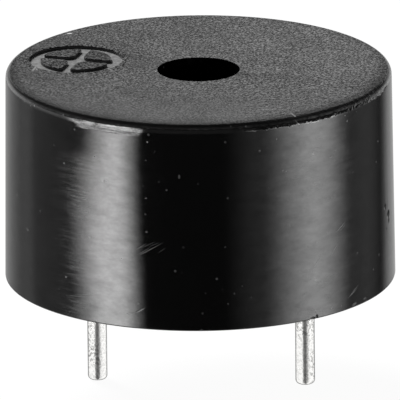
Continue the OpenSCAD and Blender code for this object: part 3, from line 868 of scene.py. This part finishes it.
def painted_light_patches(tree):
    """How brightly each place on the sheet glows with painted light, which only the part's gloss sees."""
    place = shader(tree, "TexCoord").outputs["Object"]
    far = off_middle(tree, place)
    # A round side mirrors a place a little in front of the one that it faces, and more so nearby.
    ahead = maths(tree, "SUBTRACT", 1.0, maths(tree, "DIVIDE", part_r / 2, far))
    azimuth = maths(tree, "DIVIDE", azimuth_of(tree, place), ahead)
    turn = maths(tree, "ABSOLUTE", azimuth)
    away = soft_step(tree, far, 18, 46)

    # Nearby there is a patch on each side, the left one with a bulging edge, and weaker light behind.
    bulge = band(tree, far, (25, 29), (43, 39))
    left_edge = total(tree, azimuth, times(tree, away, -8.0), times(tree, bulge, 6.0))
    left_front = total(tree, azimuth, times(tree, away, 3.0))
    left = times(tree, soft_step(tree, left_edge, -84, -56, level=9.9), soft_step(tree, left_front, -31, -50))
    right = band(tree, azimuth, (36, 74), (103, 71), level=4.6)
    spill = total(tree, soft_step(tree, azimuth, 12, 40, level=0.36),
                  soft_step(tree, azimuth, 92, 106, level=-0.09),
                  soft_step(tree, azimuth, 116, 144, level=-0.24))
    right_behind = soft_step(tree, azimuth, 138, 160, level=0.52)
    left_behind = soft_step(tree, azimuth, -95, -165, level=0.42)
    beside = band(tree, azimuth, (-62, -92), (-150, -96), level=0.24)
    stripe = band(tree, azimuth, (-116, -124), (-138, -126), level=0.12)
    near = times(tree, total(tree, left, right, spill, right_behind, left_behind, beside, stripe, 0.025),
                 soft_step(tree, far, 70, 48))

    # Far off, both patches run out on a sheet that is dim in front and pale behind.
    fading = soft_step(tree, far, 160, 110)
    far_left = times(tree, band(tree, azimuth, (-88, -72), (-32, -42), level=11.0), fading)
    far_right = times(tree, band(tree, azimuth, (34, 60), (104, 84), level=3.0), fading)
    distant = times(tree, total(tree, soft_step(tree, turn, 25, 100, 0.9), 0.15, far_left, far_right),
                    soft_step(tree, far, 48, 62))
    return total(tree, near, distant)


def white_sheet():
    made, tree, surface = material("white_sheet")
    made.cycles.emission_sampling = "NONE"
    surface.inputs["Base Color"].default_value = (0.8, 0.8, 0.8, 1)
    surface.inputs["Roughness"].default_value = 0.9
    surface.inputs["Specular IOR Level"].default_value = 0.0
    ray = shader(tree, "LightPath")
    plain = shader(tree, "Emission", {"Color": (1, 1, 1, 1), "Strength": 1.0})
    whiteness = 0.96
    share = times(tree, ray.outputs["Is Camera Ray"], whiteness)
    seen = shader(tree, "MixShader", {"Fac": share, 1: surface.outputs[0], 2: plain.outputs[0]})
    # Painted light: the sheet glows in patches, for the gloss only.
    patches = shader(tree, "Emission", {"Color": (1, 1, 1, 1), "Strength": painted_light_patches(tree)})
    # Close to the part the gloss sees through the sheet to the room under it, which is what the pins mirror.
    clear = shader(tree, "BsdfTransparent")
    place = shader(tree, "TexCoord").outputs["Object"]
    turn = maths(tree, "ABSOLUTE", azimuth_of(tree, place))
    reach = total(tree, off_middle(tree, place), soft_step(tree, turn, 55, 100, 4.4))
    close = soft_step(tree, reach, 19.4, 18.2)
    mirrored = shader(tree, "MixShader", {"Fac": close, 1: patches.outputs[0], 2: clear.outputs[0]})
    seen = shader(tree, "MixShader", {"Fac": ray.outputs["Is Glossy Ray"], 1: seen.outputs[0],
                                      2: mirrored.outputs[0]})
    from_below = shader(tree, "NewGeometry").outputs["Backfacing"]
    seen = shader(tree, "MixShader", {"Fac": from_below, 1: seen.outputs[0], 2: clear.outputs[0]})
    tree.links.new(seen.outputs[0], tree.nodes["Material Output"].inputs["Surface"])
    return made


floor_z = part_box("positive_pin")[0].z
floor_r = 0.6
floor_bm = bmesh.new()
bmesh.ops.create_circle(floor_bm, cap_ends=True, segments=128, radius=floor_r)
bmesh.ops.translate(floor_bm, verts=floor_bm.verts, vec=(0, 0, floor_z))
floor = object_from(floor_bm, "floor")
floor.data.materials.append(white_sheet())
floor.visible_shadow = False


# ---- Light ----
# A dim room, with a pale band low down behind the part, fills its gloss. One large soft lamp, above and
# behind, lights the matt top.

def room():
    world = bpy.data.worlds.new("room")
    bpy.context.scene.world = world
    world.use_nodes = True
    tree = world.node_tree
    tree.nodes.clear()
    view = shader(tree, "TexCoord").outputs["Generated"]
    azimuth = azimuth_of(tree, view)
    turn = maths(tree, "ABSOLUTE", azimuth)
    rise = along(tree, view, (0, 0, 1))
    height = maths(tree, "DEGREES", maths(tree, "ARCSINE", rise))
    low = times(tree, band(tree, height, (-8, -5), (2, -2)),
                total(tree, soft_step(tree, turn, 25, 100, 0.9), 0.15))
    sides = total(tree, soft_step(tree, azimuth, 12, 58), soft_step(tree, azimuth, -18, -36, 0.95))
    under = times(tree, total(tree, times(tree, sides, soft_step(tree, turn, 148, 112, 0.85)), 0.05,
                              soft_step(tree, turn, 2, 16, 0.12)),
                  soft_step(tree, height, -5, -8))
    behind = times(tree, band(tree, height, (-8, -5), (15, 9)), soft_step(tree, turn, 95, 135, 1.05))
    around = shader(tree, "Background", {"Color": total(tree, low, under, behind, 0.06), "Strength": 1.0})
    white = shader(tree, "Background", {"Color": (1, 1, 1, 1), "Strength": 1.0})
    ray = shader(tree, "LightPath")
    seen = shader(tree, "MixShader", {"Fac": ray.outputs["Is Camera Ray"], 1: around.outputs[0],
                                      2: white.outputs[0]})
    shader(tree, "OutputWorld", {"Surface": seen.outputs[0]})


def top_lamp(azimuth, elevation, distance, size, power):
    """A large soft lamp over the part. It has no image in the gloss, as if its edges faded into the room."""
    light = bpy.data.lights.new("top_lamp", "AREA")
    light.shape = "DISK"
    light.size = size
    light.energy = power
    lamp = bpy.data.objects.new("top_lamp", light)
    out = toward(azimuth, elevation)
    lamp.location = middle + out * distance
    lamp.rotation_mode = "QUATERNION"
    lamp.rotation_quaternion = out.to_track_quat("Z", "Y")
    lamp.visible_glossy = False
    bpy.context.scene.collection.objects.link(lamp)


room()
top_lamp(azimuth=-150, elevation=38, distance=0.3, size=0.12, power=2.4)
bpy.context.scene.view_settings.view_transform = "Standard"


# ---- Camera ----
# A long lens looks down a little on the part's front, from 0.6 m away. It leans by half a degree, as a camera
# that was levelled by hand does.

distance = 0.6
elevation = 17.223
aim_drop = 1.047 * mm
aim_right = 0.009 * mm
lean = math.radians(0.53)
focal_length = 1507.5
lens = bpy.data.cameras.new("camera")
lens.sensor_width = 36
lens.lens = focal_length
lens.clip_start, lens.clip_end = 0.01, 5
camera = bpy.data.objects.new("camera", lens)
bpy.context.scene.collection.objects.link(camera)
bpy.context.scene.camera = camera
back = toward(0, elevation)
facing = (-back).to_track_quat("-Z", "Y")
right, up = facing @ Vector((1, 0, 0)), facing @ Vector((0, 1, 0))
camera.location = middle + back * distance
aim = middle + right * aim_right - up * aim_drop
camera.rotation_mode = "QUATERNION"
level = (aim - camera.location).to_track_quat("-Z", "Y")
camera.rotation_quaternion = level @ Matrix.Rotation(-lean, 3, "Z").to_quaternion()
